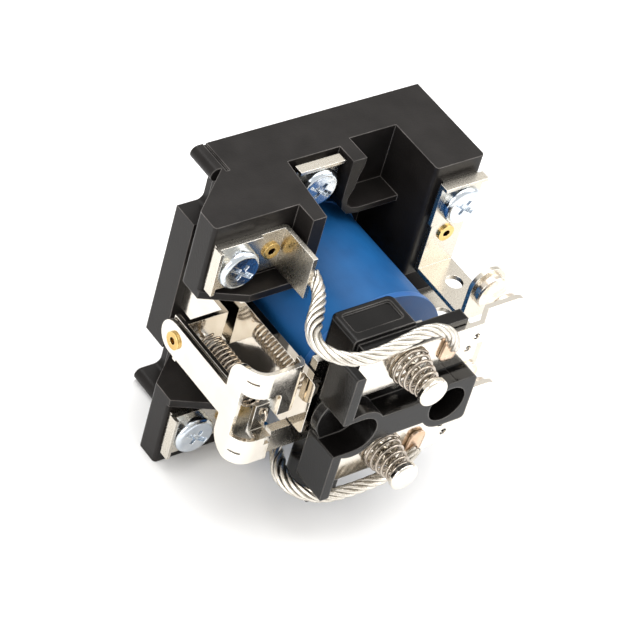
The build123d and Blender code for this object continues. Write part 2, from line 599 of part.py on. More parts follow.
def moving_arm():
    """Plated contact arm on its pin, stepped back at the contact end."""
    y0 = ARM_BACK - ARM_T
    low = CONTACT_Z - ARM_H / 2
    high = CONTACT_Z + ARM_H / 2
    back_end = moving_back() - CONTACT_T
    step = back_end - ARM_BACK
    plan = [(ARM_LEFT, y0), (JOG_X[0], y0), (JOG_X[1], y0 + step), (CONTACT_X, y0 + step),
            (CONTACT_X, ARM_BACK + step), (JOG_X[1], ARM_BACK + step), (JOG_X[0], ARM_BACK), (ARM_LEFT, ARM_BACK)]
    arm = prism_z(plan, low, high)
    arm += rod_y(CONTACT_X, CONTACT_Z, ARM_H / 2, y0 + step, ARM_BACK + step)
    arm -= rod_y(PIN_X, CONTACT_Z, PIN_R + SLIDE_CLEAR, y0 - 1, ARM_BACK + 1)
    for x, z in ((13.2, CONTACT_Z - 1.2), (15.4 - 0.8, CONTACT_Z + 1.6)):
        arm -= rod_y(x, z, 0.8, y0 - 1, ARM_BACK + 1)
    return arm


def moving_back():
    """Plane of the moving contact's face when open."""
    return FIXED_LEG_Y - STRIP_T - CONTACT_T - CONTACT_GAP


def moving_contact():
    """Contact button on the back of the moving arm."""
    y = moving_back()
    button = rod_y(CONTACT_X, CONTACT_Z, CONTACT_R, y - CONTACT_T, y)
    return chamfer([e for e in button.edges().filter_by(GeomType.CIRCLE) if e.center().Y > y - 0.1], 0.3)


def contact_spring():
    """Conical spring between arm and pin head, its wide end on the arm."""
    y0 = PIN_HEAD_Y + 0.35
    y1 = ARM_BACK - ARM_T - 0.35
    length = y0 - y1
    outer = Pos(PIN_X, (y0 + y1) / 2, CONTACT_Z) * Rot(90, 0, 0)
    big = CONE_R[0] + SPRING_WIRE / 2
    small = CONE_R[1] + SPRING_WIRE / 2
    shell = outer * Cone(big, small, abs(length))
    core = outer * Cone(big - SPRING_WIRE, small - SPRING_WIRE, abs(length) + 0.001)
    return shell - core


# ---- braids -----------------------------------------------------------------------------------------
UPPER_ROUTE = [
    (-12.6, -30.2, 21.6), (-13.0, -34.2, 20.7), (-15.4, -38.2, 20.6), (-19.0, -42.4, 21.0),
    (-21.6, -46.4, 21.5), (-21.2, -50.6, 21.6), (-17.2, -53.0, 21.5), (-11.2, -53.2, 21.2),
    (-5.6, -52.9, 21.9), (-0.8, -52.8, 22.2), (3.2, -52.7, 20.9), (6.2, -52.4, 17.4), (7.4, -52.08, 11.6),
]
LOWER_ROUTE = [
    (-12.6, -30.2, -21.4), (-13.1, -34.4, -20.6), (-15.0, -38.6, -19.6), (-17.0, -42.8, -19.5),
    (-17.0, -47.0, -19.7), (-14.9, -51.0, -19.1), (-10.8, -52.6, -17.9), (-5.0, -52.9, -17.7),
    (0.4, -52.8, -17.6), (4.8, -52.4, -15.4), (7.0, -52.08, -11.4),
]


def braid(route):
    """Tinned copper braid from a left terminal's tab to a moving arm."""
    points = [Vector(*p) for p in route]
    radii = []
    for a, b, c in zip(points, points[1:], points[2:]):
        turn = math.radians((b - a).get_angle(c - b))
        radii.append(0.45 * min((b - a).length, (c - b).length) / math.tan(turn / 2))
    print("braid radii", [round(r, 1) for r in radii])
    path = FilletPolyline(*points, radius=radii)
    start = Plane(origin=path.position_at(0), z_dir=path.tangent_at(0))
    tube = sweep(start * Circle(BRAID_R), path=path)
    print("braid length", round(path.length, 1), "volume ratio",
          round(tube.volume / (path.length * math.pi * BRAID_R ** 2), 4))
    return tube


# ---- write every piece ------------------------------------------------------------------------------
def parts():
    pieces = {
        "moulded_body": moulded_body(),
        "magnet_frame": magnet_frame(),
        "coil_core": coil_core(),
        "coil_bobbin": coil_bobbin(),
        "coil_winding": coil_winding(),
        "coil_wrap": coil_wrap(),
        "armature_bracket": bracket(),
        "spring_anchor": anchor(),
        "bracket_eyelet": eyelet(),
        "return_spring": return_spring(),
        "armature": armature(),
        "crossbar": crossbar(),
        "crossbar_rivets": [cross_rivet(1), cross_rivet(-1)],
        "terminal_screws": [screw(*p) for p in screw_places()],
        "wire_clamps": saddles(),
        "braid_upper": braid(UPPER_ROUTE),
        "braid_lower": braid(LOWER_ROUTE),
        "terminal_rivets": [rivet(*p) for p in rivet_places()],
    }
    for name, make in (("left_terminal", left_terminal), ("right_terminal", right_terminal),
                       ("fixed_contact", fixed_contact), ("coil_terminal", coil_terminal),
                       ("moving_arm", moving_arm), ("moving_contact", moving_contact),
                       ("contact_pin", contact_pin), ("contact_spring", contact_spring)):
        upper = make()
        pieces[name + "_upper"] = upper
        pieces[name + "_lower"] = mirrored(upper)
    return pieces


def solid_group(shape):
    shapes = shape if isinstance(shape, list) else [shape]
    solids = [s for one in shapes for s in one.solids()]
    return solids[0] if len(solids) == 1 else Compound(children=solids)


os.makedirs("parts", exist_ok=True)
for name, shape in parts().items():
    export_step(solid_group(shape), f"parts/{name}.step")
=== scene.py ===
import bpy
import numpy as np
from mathutils import Matrix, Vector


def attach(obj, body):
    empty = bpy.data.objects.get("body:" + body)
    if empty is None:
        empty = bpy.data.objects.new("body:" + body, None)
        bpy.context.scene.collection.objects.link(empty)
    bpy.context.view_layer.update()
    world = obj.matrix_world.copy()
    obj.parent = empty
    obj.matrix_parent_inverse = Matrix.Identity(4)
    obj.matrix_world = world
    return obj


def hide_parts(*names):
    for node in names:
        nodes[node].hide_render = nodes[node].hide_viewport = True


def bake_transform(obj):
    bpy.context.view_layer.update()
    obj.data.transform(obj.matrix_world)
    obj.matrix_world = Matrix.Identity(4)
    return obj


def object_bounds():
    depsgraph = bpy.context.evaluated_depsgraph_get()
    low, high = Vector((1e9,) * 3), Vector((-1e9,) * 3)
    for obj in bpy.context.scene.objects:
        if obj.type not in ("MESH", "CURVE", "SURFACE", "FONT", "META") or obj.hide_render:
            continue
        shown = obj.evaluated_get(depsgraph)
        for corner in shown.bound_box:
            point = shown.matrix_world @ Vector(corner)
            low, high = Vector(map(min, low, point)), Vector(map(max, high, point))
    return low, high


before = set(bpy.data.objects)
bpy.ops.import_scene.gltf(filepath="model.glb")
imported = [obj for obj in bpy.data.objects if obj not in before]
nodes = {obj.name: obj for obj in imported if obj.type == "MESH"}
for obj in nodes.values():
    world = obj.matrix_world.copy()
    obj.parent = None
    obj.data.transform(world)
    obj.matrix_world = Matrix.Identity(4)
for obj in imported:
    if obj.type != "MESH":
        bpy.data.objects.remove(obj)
cad_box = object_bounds()
MM = 0.001
POLES = (("upper", 1), ("lower", -1))       # each pole's name and its side of z = 0

# ---- Camera -----------------------------------------------------------------------------------------
# A long lens from the front left and above, rolled a little.
# The relay lies on the end of its moulding.
CAMERA_PLACE = (-0.3214, -0.3282, 0.3940)
CAMERA_RIGHT = (0.799, -0.560, 0.218)
CAMERA_BACK = (-0.541, -0.513, 0.666)
LENS_MM = 169.1

lens = bpy.data.cameras.new("studio_camera")
lens.lens = LENS_MM
lens.sensor_width = 36.0
lens.clip_start = 0.01
lens.clip_end = 20.0
camera = bpy.data.objects.new("studio_camera", lens)
bpy.context.scene.collection.objects.link(camera)
back = np.array(CAMERA_BACK) / np.linalg.norm(CAMERA_BACK)
right = np.array(CAMERA_RIGHT) - back * np.dot(CAMERA_RIGHT, back)
right /= np.linalg.norm(right)
upward = np.cross(back, right)
turned = Matrix(np.array([right, upward, back]).T.tolist()).to_4x4()
camera.matrix_world = Matrix.Translation(CAMERA_PLACE) @ turned
bpy.context.scene.camera = camera
bpy.context.scene.view_settings.view_transform = "Standard"


# ---- Moulded base -----------------------------------------------------------------------------------
# One black phenolic moulding: mounting plate, four terminal blocks, two arc chambers and the barriers.
# Its skin is satin from the mould, a little cloudy, with pale edges: partly wear, partly a painted highlight.
def add(tree, kind, inputs=None, **settings):
    """Places one node, sets its options, and gives each named input a value or a link."""
    made = tree.nodes.new(kind)
    for key, value in settings.items():
        setattr(made, key, value)
    for key, value in (inputs or {}).items():
        if isinstance(value, bpy.types.NodeSocket):
            tree.links.new(value, made.inputs[key])
        else:
            made.inputs[key].default_value = value
    return made


def effect(name, takes, gives):
    """A node group with float inputs (name, value) and outputs (name, socket type), and its two ends."""
    group = bpy.data.node_groups.new(name, "ShaderNodeTree")
    for label, value in takes:
        socket = group.interface.new_socket(label, in_out="INPUT", socket_type="NodeSocketFloat")
        socket.default_value = value
    for label, kind in gives:
        group.interface.new_socket(label, in_out="OUTPUT", socket_type=kind)
    return group, add(group, "NodeGroupInput").outputs, add(group, "NodeGroupOutput").inputs


def rounded_edges():
    """Edges as if rounded by Radius: their normal, and a mask from how far it turns from the face's own."""
    group, takes, gives = effect(
        "rounded_edges", [("Radius", 0.0002), ("Sharpness", 9.0)],
        [("Edge", "NodeSocketFloat"), ("Normal", "NodeSocketVector")])
    bevel = add(group, "ShaderNodeBevel", {"Radius": takes["Radius"]}, samples=6)
    face = add(group, "ShaderNodeNewGeometry")
    same = add(group, "ShaderNodeVectorMath", {0: bevel.outputs["Normal"], 1: face.outputs["Normal"]},
               operation="DOT_PRODUCT")
    turned = add(group, "ShaderNodeMath", {0: 1.0, 1: same.outputs["Value"]}, operation="SUBTRACT")
    mask = add(group, "ShaderNodeMath", {0: turned.outputs[0], 1: takes["Sharpness"]}, operation="MULTIPLY",
               use_clamp=True)
    group.links.new(mask.outputs[0], gives["Edge"])
    group.links.new(bevel.outputs["Normal"], gives["Normal"])
    return group


def skin():
    """Cloudy patches and fine grain in the piece's own coordinates: the middle of each noise, spread to 0
    to 1."""
    group, takes, gives = effect(
        "skin", [("Patch Scale", 200.0), ("Grain Scale", 2500.0)],
        [("Patches", "NodeSocketFloat"), ("Grain", "NodeSocketFloat")])
    place = add(group, "ShaderNodeTexCoord").outputs["Object"]
    patches = add(group, "ShaderNodeTexNoise", {"Vector": place, "Scale": takes["Patch Scale"], "Detail": 4.0})
    grain = add(group, "ShaderNodeTexNoise", {"Vector": place, "Scale": takes["Grain Scale"], "Detail": 2.0})
    for noise, label in ((patches, "Patches"), (grain, "Grain")):
        spread = add(group, "ShaderNodeMapRange", {"Value": noise.outputs[0], "From Min": 0.3, "From Max": 0.7})
        group.links.new(spread.outputs[0], gives[label])
    return group


ROUNDED_EDGES = rounded_edges()
SKIN = skin()


def finish(name, patch_scale, grain_scale, edge_radius):
    """A new material with its shader and the two shared effects in place; scales are per metre."""
    material = bpy.data.materials.new(name)
    material.use_nodes = True
    tree = material.node_tree
    tree.nodes.clear()
    shader = add(tree, "ShaderNodeBsdfPrincipled")
    add(tree, "ShaderNodeOutputMaterial", {"Surface": shader.outputs[0]})
    surface = add(tree, "ShaderNodeGroup", node_tree=SKIN)
    surface.inputs["Patch Scale"].default_value = patch_scale
    surface.inputs["Grain Scale"].default_value = grain_scale
    edges = add(tree, "ShaderNodeGroup", node_tree=ROUNDED_EDGES)
    edges.inputs["Radius"].default_value = edge_radius
    return material, tree, shader, surface.outputs, edges.outputs


def tint(tree, factor, first, second):
    """The colour between two, by a mask."""
    def as_colour(c):
        return c if isinstance(c, bpy.types.NodeSocket) else (*c, 1.0)

    # sockets 6, 7 and 2 of this node are its two colours and its result when it mixes colours
    return add(tree, "ShaderNodeMix", {0: factor, 6: as_colour(first), 7: as_colour(second)},
               data_type="RGBA").outputs[2]


def between(tree, factor, low, high):
    """A number between two, by a mask."""
    return add(tree, "ShaderNodeMapRange", {"Value": factor, "To Min": low, "To Max": high}).outputs[0]


def relief(tree, shader, height, strength, depth, normal):
    """Fine relief on top of the rounded edges."""
    bump = add(tree, "ShaderNodeBump", {"Height": height, "Strength": strength, "Distance": depth,
                                        "Normal": normal})
    tree.links.new(bump.outputs[0], shader.inputs["Normal"])


def moulded(name, dark, cloud, edge, dull, bright, gloss=0.35, edge_radius=0.0003):
    """Moulded resin: two close shades in clouds, pale edges that are partly wear and partly a painted
    highlight, a gloss that drifts, and pin-prick grain.
    """
    edge_share_least, edge_share_most = 0.25, 0.9
    grain_strength, grain_depth = 0.3, 0.00003
    material, tree, shader, surface, edges = finish(name, 160.0, 2600.0, edge_radius)
    clouds = tint(tree, surface["Patches"], dark, cloud)
    edge_wear_and_highlight_share = between(tree, surface["Patches"], edge_share_least, edge_share_most)
    # pale edges from the rounded-edge mask, varied in patches: partly wear, partly a painted highlight on every
    # edge
    worn_and_highlit_edges = add(tree, "ShaderNodeMath", {0: edges["Edge"], 1: edge_wear_and_highlight_share}, operation="MULTIPLY").outputs[0]
    tree.links.new(tint(tree, worn_and_highlit_edges, clouds, edge), shader.inputs["Base Color"])
    tree.links.new(between(tree, surface["Patches"], bright, dull), shader.inputs["Roughness"])
    relief(tree, shader, surface["Grain"], grain_strength, grain_depth, edges["Normal"])
    shader.inputs["Specular IOR Level"].default_value = gloss
    return material


def dress(material, *names):
    """Gives CAD nodes their finish."""
    for name in names:
        node = nodes[name]
        if not node.material_slots:
            node.data.materials.append(material)
        for holder in node.material_slots:
            holder.material = material


PHENOLIC = moulded("black_phenolic", dark=(0.0105, 0.0092, 0.0087), cloud=(0.0155, 0.0136, 0.0128),
                   edge=(0.24, 0.222, 0.21), dull=0.40, bright=0.28, gloss=0.16)
dress(PHENOLIC, "moulded_body")


# ---- Iron circuit -----------------------------------------------------------------------------------
# A bent iron plate behind and beside the coil and a round core staked into it, both nickel plated.
# The plate is barrel plated, so it is bright and slightly wavy, with small dull patches.
def plated(name, colour, shade, bright, dull, edge, wave=0.35, patch_scale=260.0, grain_scale=3000.0):
    """Plated metal: tint and gloss drift in patches, a slow wave bends its reflections, and the edges are
    painted brighter, a painted highlight.
    """
    edge_radius, wave_depth, grain_share = 0.00018, 0.00006, 0.03
    material, tree, shader, surface, edges = finish(name, patch_scale, grain_scale, edge_radius)
    shader.inputs["Metallic"].default_value = 1.0
    clouds = tint(tree, surface["Patches"], colour, shade)
    # painted highlight: the rounded-edge mask paints the edges in the brighter edge colour
    tree.links.new(tint(tree, edges["Edge"], clouds, edge), shader.inputs["Base Color"])
    mixed = add(tree, "ShaderNodeMath", {0: surface["Patches"], 1: surface["Grain"]}, operation="MULTIPLY")
    tree.links.new(between(tree, mixed.outputs[0], bright, dull), shader.inputs["Roughness"])
    fine = between(tree, surface["Grain"], 0.0, grain_share)
    height = add(tree, "ShaderNodeMath", {0: surface["Patches"], 1: fine}, operation="ADD")
    relief(tree, shader, height.outputs[0], wave, wave_depth, edges["Normal"])
    return material


FRAME_NICKEL = plated("frame_nickel", colour=(0.78, 0.72, 0.63), shade=(0.68, 0.61, 0.51), bright=0.05,
                      dull=0.14, edge=(0.93, 0.90, 0.85), wave=0.12)
dress(FRAME_NICKEL, "magnet_frame", "coil_core")


# ---- Coil -------------------------------------------------------------------------------------------
# Enamelled wire on a blue moulded spool, closed with one layer of blue polyester tape.
# The tape lies tight, with faint creases along the coil and a soft sheen.
def coil_tape():
    """Blue tape: creases stretched along the coil, a sheen that varies, and rounded edges painted paler, a
    painted highlight.
    """
    deep, light, edge_highlight = (0.003, 0.066, 0.205), (0.005, 0.094, 0.275), (0.04, 0.22, 0.45)
    drawn_out = (1.0, 0.12, 1.0)        # the creases are about eight times as long as they are wide
    material, tree, shader, surface, edges = finish("blue_coil_tape", 120.0, 2200.0, 0.00015)
    place = add(tree, "ShaderNodeTexCoord").outputs["Object"]
    drawn = add(tree, "ShaderNodeMapping", {"Vector": place, "Scale": drawn_out})
    creases = add(tree, "ShaderNodeTexNoise", {"Vector": drawn.outputs[0], "Scale": 420.0, "Detail": 3.0})
    body = tint(tree, surface["Patches"], deep, light)
    # painted highlight: the edges of the tape are painted a paler blue
    tree.links.new(tint(tree, edges["Edge"], body, edge_highlight), shader.inputs["Base Color"])
    tree.links.new(between(tree, creases.outputs[0], 0.40, 0.66), shader.inputs["Roughness"])
    shader.inputs["Specular IOR Level"].default_value = 0.3
    fine = between(tree, surface["Grain"], 0.0, 0.12)
    height = add(tree, "ShaderNodeMath", {0: creases.outputs[0], 1: fine}, operation="ADD")
    relief(tree, shader, height.outputs[0], 0.5, 0.00012, edges["Normal"])
    return material


def wound_wire():
    """Copper-coloured enamelled wire: fine rings round the coil, for its turns."""
    material, tree, shader, surface, edges = finish("enamelled_wire", 300.0, 3000.0, 0.00012)
    place = add(tree, "ShaderNodeTexCoord").outputs["Object"]
    turns = add(tree, "ShaderNodeTexWave", {"Vector": place, "Scale": 1000.0, "Distortion": 0.4},
                bands_direction="Y")
    tree.links.new(tint(tree, turns.outputs[1], (0.16, 0.045, 0.015), (0.62, 0.27, 0.10)),
                   shader.inputs["Base Color"])
    shader.inputs["Metallic"].default_value = 0.6
    tree.links.new(between(tree, surface["Patches"], 0.28, 0.42), shader.inputs["Roughness"])
    relief(tree, shader, turns.outputs[1], 0.6, 0.0001, edges["Normal"])
    return material


BLUE_SPOOL = moulded("blue_spool", dark=(0.012, 0.085, 0.27), cloud=(0.018, 0.11, 0.33),
                     edge=(0.10, 0.25, 0.52), dull=0.50, bright=0.36)
dress(coil_tape(), "coil_wrap")
dress(wound_wire(), "coil_winding")
dress(BLUE_SPOOL, "coil_bobbin")


# ---- Terminals --------------------------------------------------------------------------------------
# Nickel-plated brass strips: flat for the wires, bent forward for the braids and the fixed contacts.
# Tubular brass rivets hold them to the moulding, and each contact button is a silver alloy.
SATIN_NICKEL = plated("satin_nickel", colour=(0.68, 0.64, 0.565), shade=(0.61, 0.565, 0.49), bright=0.25,
                      dull=0.35, edge=(0.90, 0.87, 0.81), wave=0.06, patch_scale=90.0)
BRASS = plated("plain_brass", colour=(0.74, 0.53, 0.20), shade=(0.60, 0.39, 0.13), bright=0.16, dull=0.36,
               edge=(0.90, 0.72, 0.36))
SILVER = plated("silver_alloy", colour=(0.84, 0.80, 0.74), shade=(0.74, 0.62, 0.48), bright=0.18, dull=0.42,
                edge=(0.93, 0.88, 0.80), patch_scale=700.0)
for side, _ in POLES:
    dress(SATIN_NICKEL, "left_terminal_" + side, "right_terminal_" + side, "coil_terminal_" + side)
    dress(SILVER, "fixed_contact_" + side)
dress(BRASS, "terminal_rivets")


# ---- Screws and wire clamps -------------------------------------------------------------------------
# Six binding-head screws, zinc plated and passivated to a cold blue-white, with square clamps under them.
# The zinc lies unevenly, so it ripples what the heads reflect. The clamps have the strips' satin nickel.
ZINC = plated("blue_zinc", colour=(0.72, 0.765, 0.81), shade=(0.56, 0.62, 0.69), bright=0.12, dull=0.32,
              edge=(0.92, 0.95, 0.98), wave=0.6, patch_scale=420.0, grain_scale=5200.0)
dress(ZINC, "terminal_screws")
dress(SATIN_NICKEL, "wire_clamps")


# ---- Armature and its bracket -----------------------------------------------------------------------
# A flat iron armature rocks on the frame's shoulders; a bright stamped bracket wraps round its edge.
# A brass eyelet closes the bracket's long arm, and a plated strip behind it anchors the return spring.
BRIGHT_NICKEL = plated("bright_nickel", colour=(0.83, 0.785, 0.71), shade=(0.76, 0.71, 0.63), bright=0.10,
                       dull=0.24, edge=(0.96, 0.94, 0.90), wave=0.25, patch_scale=180.0)
dress(SATIN_NICKEL, "armature")
dress(BRIGHT_NICKEL, "armature_bracket", "spring_anchor")
dress(BRASS, "bracket_eyelet")


# ---- Return spring ----------------------------------------------------------------------------------
# A close-wound extension spring of nickel-plated wire, with a straight hook at each end.
# It pulls the bracket's tab back, which holds the contacts open.
SPRING_X, SPRING_Z = -25.2, -1.2
SPRING_R, RETURN_WIRE, RETURN_TURNS = 2.4, 0.6, 15
RETURN_COIL_Y = (-20.9, -36.7)      # first and last turn
RETURN_HOOK_Y = (-17.3, -40.9)      # outer sides of the two tabs it hooks through
HOOK_POINTS = 48
HOOK_SMOOTHING = 6
STEPS_A_TURN = 36
RETURN_SIDES = 10                   # of the wire's ring


def swept(path, reference, across, along):
    """A closed bar: a ring of offsets carried along a path. At each point of the path one side of the ring
    leans to the reference direction, made square to the path, and the other side is square to both.
    A point in the middle of each end closes it."""
    heading = np.gradient(path, axis=0)
    heading /= np.linalg.norm(heading, axis=1, keepdims=True)
    lean = reference - heading * np.sum(reference * heading, axis=1, keepdims=True)
    lean /= np.linalg.norm(lean, axis=1, keepdims=True)
    square = np.cross(heading, lean)
    grid = (path[:, None] + lean[:, None] * across[..., None] + square[:, None] * along[..., None]) * MM
    rows, ring = grid.shape[:2]
    row, col = np.meshgrid(np.arange(rows - 1), np.arange(ring), indexing="ij")
    after = (col + 1) % ring
    low, high = row * ring, (row + 1) * ring
    sides = np.stack([low + col, low + after, high + after, high + col], -1)
    first, last = rows * ring, rows * ring + 1
    here = np.arange(ring)
    beside = (here + 1) % ring
    near = np.stack([np.full(ring, first), beside, here], -1)
    far = (rows - 1) * ring + np.stack([np.zeros(ring, int), here, beside], -1)
    far[:, 0] = last
    points = np.concatenate([grid.reshape(-1, 3), grid[:1].mean(1), grid[-1:].mean(1)])
    return points, sides.reshape(-1, 4).tolist() + near.tolist() + far.tolist()


def piece(name, shells, material):
    """One object from one or more closed shells, its place in its mesh, shaded smooth."""
    points, faces, count = [], [], 0
    for some, more in shells:
        points.append(some)
        faces += [[i + count for i in f] for f in more]
        count += len(some)
    mesh = bpy.data.meshes.new(name)
    mesh.from_pydata(np.concatenate(points).tolist(), [], faces)
    mesh.polygons.foreach_set("use_smooth", np.ones(len(mesh.polygons), bool))
    mesh.materials.append(material)
    made = bpy.data.objects.new(name, mesh)
    bpy.context.scene.collection.objects.link(made)
    return made


def round_ring(radius, sides):
    """Offsets of a circle, as two rows for swept()."""
    angle = np.linspace(0, 2 * np.pi, sides, endpoint=False)
    return np.cos(angle)[None] * radius, np.sin(angle)[None] * radius


def ease(x):
    """Smooth step from 0 to 1."""
    x = np.clip(x, 0, 1)
    return x * x * (3 - 2 * x)


def smoothed(path, times):
    """A path whose inner points move, so many times, half way to the middle of their neighbours."""
    for _ in range(times):
        path[1:-1] = 0.25 * path[:-2] + 0.5 * path[1:-1] + 0.25 * path[2:]
    return path


def resampled(path, run, at):
    """The points of a path at other values of its running measure."""
    return np.stack([np.interp(at, run, path[:, i]) for i in range(3)], -1)


def return_spring():
    """Turns of one radius, then at each end the wire drops from the top of its turn to the middle, runs out
    through the tab and turns down behind it. The reference direction swings from along the spring to across
    it while the wire drops."""
    count = RETURN_TURNS * STEPS_A_TURN + 1
    angle = np.pi / 2 + np.linspace(0, RETURN_TURNS * 2 * np.pi, count)
    y = np.linspace(*RETURN_COIL_Y, count)
    coil = np.stack([SPRING_R * np.cos(angle), y, SPRING_R * np.sin(angle)], -1)
    along_y, across_x = np.array([[0.0, 1.0, 0.0]]), np.array([[1.0, 0.0, 0.0]])
    lines, leans = [], []
    for end, (edge, outer) in enumerate(zip(RETURN_COIL_Y, RETURN_HOOK_Y)):
        away = np.sign(outer - edge)
        # the hook's corners from the spring's middle line: off the turn, along, through the tab, and down
        knots = np.array([(-0.55, edge + 0.25 * away, 2.15), (-0.1, edge + 0.5 * away, 1.1),
                          (0, edge + 1.1 * away, 0.25), (0, edge + 2.0 * away, 0.0),
                          (0, outer - 0.3 * away, 0.0), (0, outer + 0.25 * away, -0.25),
                          (0, outer + 0.4 * away, -0.8), (0, outer + 0.4 * away, -1.7)])
        knots[:, 0] *= -away
        at = np.linspace(0, len(knots) - 1, HOOK_POINTS)
        hook = smoothed(resampled(knots, np.arange(len(knots)), at), HOOK_SMOOTHING)
        swing = ease(at / 2.0)[:, None]     # done by the third corner
        lean = along_y * (1 - swing) + across_x * swing
        lines.append(hook if end else hook[::-1])
        leans.append(lean if end else lean[::-1])
    path = np.concatenate([lines[0], coil, lines[1]])
    lean = np.concatenate([leans[0], np.tile(along_y, (count, 1)), leans[1]])
    path += np.array([SPRING_X, 0.0, SPRING_Z])
    return swept(path, lean, *round_ring(RETURN_WIRE / 2, RETURN_SIDES))


WIRE = plated("spring_wire", colour=(0.52, 0.465, 0.40), shade=(0.33, 0.28, 0.23), bright=0.12, dull=0.26,
              edge=(0.75, 0.71, 0.65), wave=0.2, patch_scale=500.0)
spring = piece("return_spring_wire", [return_spring()], WIRE)
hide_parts("return_spring")
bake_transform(spring)


# ---- Crossbar ---------------------------------------------------------------------------------------
# A glossy black moulding riveted to the armature. It carries both contact arms, reaches back over the
# coil as a hood, and holds two round sockets for blow-out magnets.
CROSSBAR = moulded("gloss_black", dark=(0.0042, 0.0038, 0.0036), cloud=(0.0065, 0.0059, 0.0056),
                   edge=(0.18, 0.17, 0.16), dull=0.18, bright=0.08, gloss=0.22, edge_radius=0.00045)
dress(CROSSBAR, "crossbar")
dress(SATIN_NICKEL, "crossbar_rivets")


# ---- Contact arms, buttons and pins -----------------------------------------------------------------
# Each pole has a nickel-plated copper arm on a headed pin, with a silver alloy button at its far end.
# Arm and pin share the bracket's bright nickel.
for side, _ in POLES:
    dress(BRIGHT_NICKEL, "moving_arm_" + side, "contact_pin_" + side)
    dress(SILVER, "moving_contact_" + side)


# ---- Contact springs --------------------------------------------------------------------------------
# A conical spring on each pin presses the arm: its wide end sits on the arm, its narrow end under the head.
# It is wound from plated wire, and its end turns lie flat.
PIN_X, PIN_Z = -1.5, 11.65
CONE_R, CONE_WIRE, CONE_TURNS = (4.1, 2.3), 0.7, 5.5
CONE_Y = (-50.93, -57.33)           # middle of the wire on the arm and under the head
CONE_START = 0.6                    # angle of the wire's end on the arm, in radians
CONE_SIDES = 12
FLAT_PACE, FLAT_TURNS = 0.25, 0.8   # the rise in an end turn, and how much of a turn stays low


def cone_spring(sign):
    """A helix whose radius shrinks evenly with its turns; its rise is slow in the first and last turn."""
    turn = np.linspace(0, CONE_TURNS, int(CONE_TURNS * STEPS_A_TURN) + 1)
    angle = turn * 2 * np.pi + CONE_START
    radius = CONE_R[0] + (CONE_R[1] - CONE_R[0]) * turn / CONE_TURNS
    pace = FLAT_PACE + ease(turn / FLAT_TURNS) * ease((CONE_TURNS - turn) / FLAT_TURNS)
    rise = np.concatenate([[0.0], np.cumsum((pace[1:] + pace[:-1]) / 2)])
    y = CONE_Y[0] + (CONE_Y[1] - CONE_Y[0]) * rise / rise[-1]
    path = np.stack([PIN_X + radius * np.cos(angle), y, sign * PIN_Z + radius * np.sin(angle)], -1)
    return swept(path, np.tile([0.0, 1.0, 0.0], (len(path), 1)), *round_ring(CONE_WIRE / 2, CONE_SIDES))


for side, sign in POLES:
    cone = piece("contact_spring_wire_" + side, [cone_spring(sign)], WIRE)
    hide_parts("contact_spring_" + side)
    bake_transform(cone)


# ---- Braids -----------------------------------------------------------------------------------------
# Tinned copper leads from the left terminals' tabs to the contact arms, each of strands laid like a rope.
# Each end is pressed flat and welded to its strip.
ROUTES = {"upper": [
    (-12.6, -30.2, 21.6), (-13.6, -34.2, 20.7), (-17.0, -38.2, 20.6), (-21.0, -42.2, 21.0),
    (-23.4, -46.0, 21.6), (-22.8, -50.0, 21.8), (-19.0, -53.0, 21.7), (-13.4, -53.2, 21.4),
    (-7.6, -52.9, 22.2), (-2.8, -52.8, 23.2), (1.6, -52.7, 21.9), (5.8, -52.4, 18.6), (7.5, -52.0, 14.4),
], "lower": [
    (-12.6, -30.2, -21.4), (-13.5, -34.4, -20.6), (-16.2, -38.6, -19.6), (-18.6, -42.8, -19.5),
    (-18.2, -47.0, -19.7), (-14.9, -51.0, -19.3), (-10.8, -52.6, -18.2), (-5.0, -52.9, -17.9),
    (0.4, -52.8, -17.6), (4.8, -52.4, -15.8), (6.9, -52.0, -13.2),
]}
STRANDS = 6
STRAND_STEP = 0.22       # between the rings of a strand
STRAND_SMOOTHING = 4
STRAND_LAY = 15.0        # length in which a strand goes once round
STRAND_R = 0.90          # strand's middle from the braid's middle
STRAND_HALF = (0.44, 0.47)
DRAWN_IN, DRAWN_OVER = 0.8, 3.0                     # share of STRAND_R left at an end, and over what length
LOOSE_BY, LOOSE_AT, LOOSE_OVER = 0.38, 13.0, 5.0    # the lay opens this much, here from the tab, over this
WIRES_SEEN = 7           # in half of a strand's outline
RIPPLE = 0.075           # a wire's height, as a share of the strand


def centreline(name, route):
    """The smooth line of a route, in millimetres: a spline with the route's points as its controls."""
    data = bpy.data.curves.new(name, "CURVE")
    data.dimensions = "3D"
    data.resolution_u = 16
    line = data.splines.new("NURBS")
    line.points.add(len(route) - 1)
    for point, place in zip(line.points, route):
        point.co = (*[c * MM for c in place], 1.0)
    line.order_u = 3
    line.use_endpoint_u = True
    holder = bpy.data.objects.new(name, data)
    mesh = bpy.data.meshes.new_from_object(holder)
    points = np.array([v.co for v in mesh.vertices]) / MM
    bpy.data.objects.remove(holder)
    bpy.data.curves.remove(data)
    bpy.data.meshes.remove(mesh)
    return points


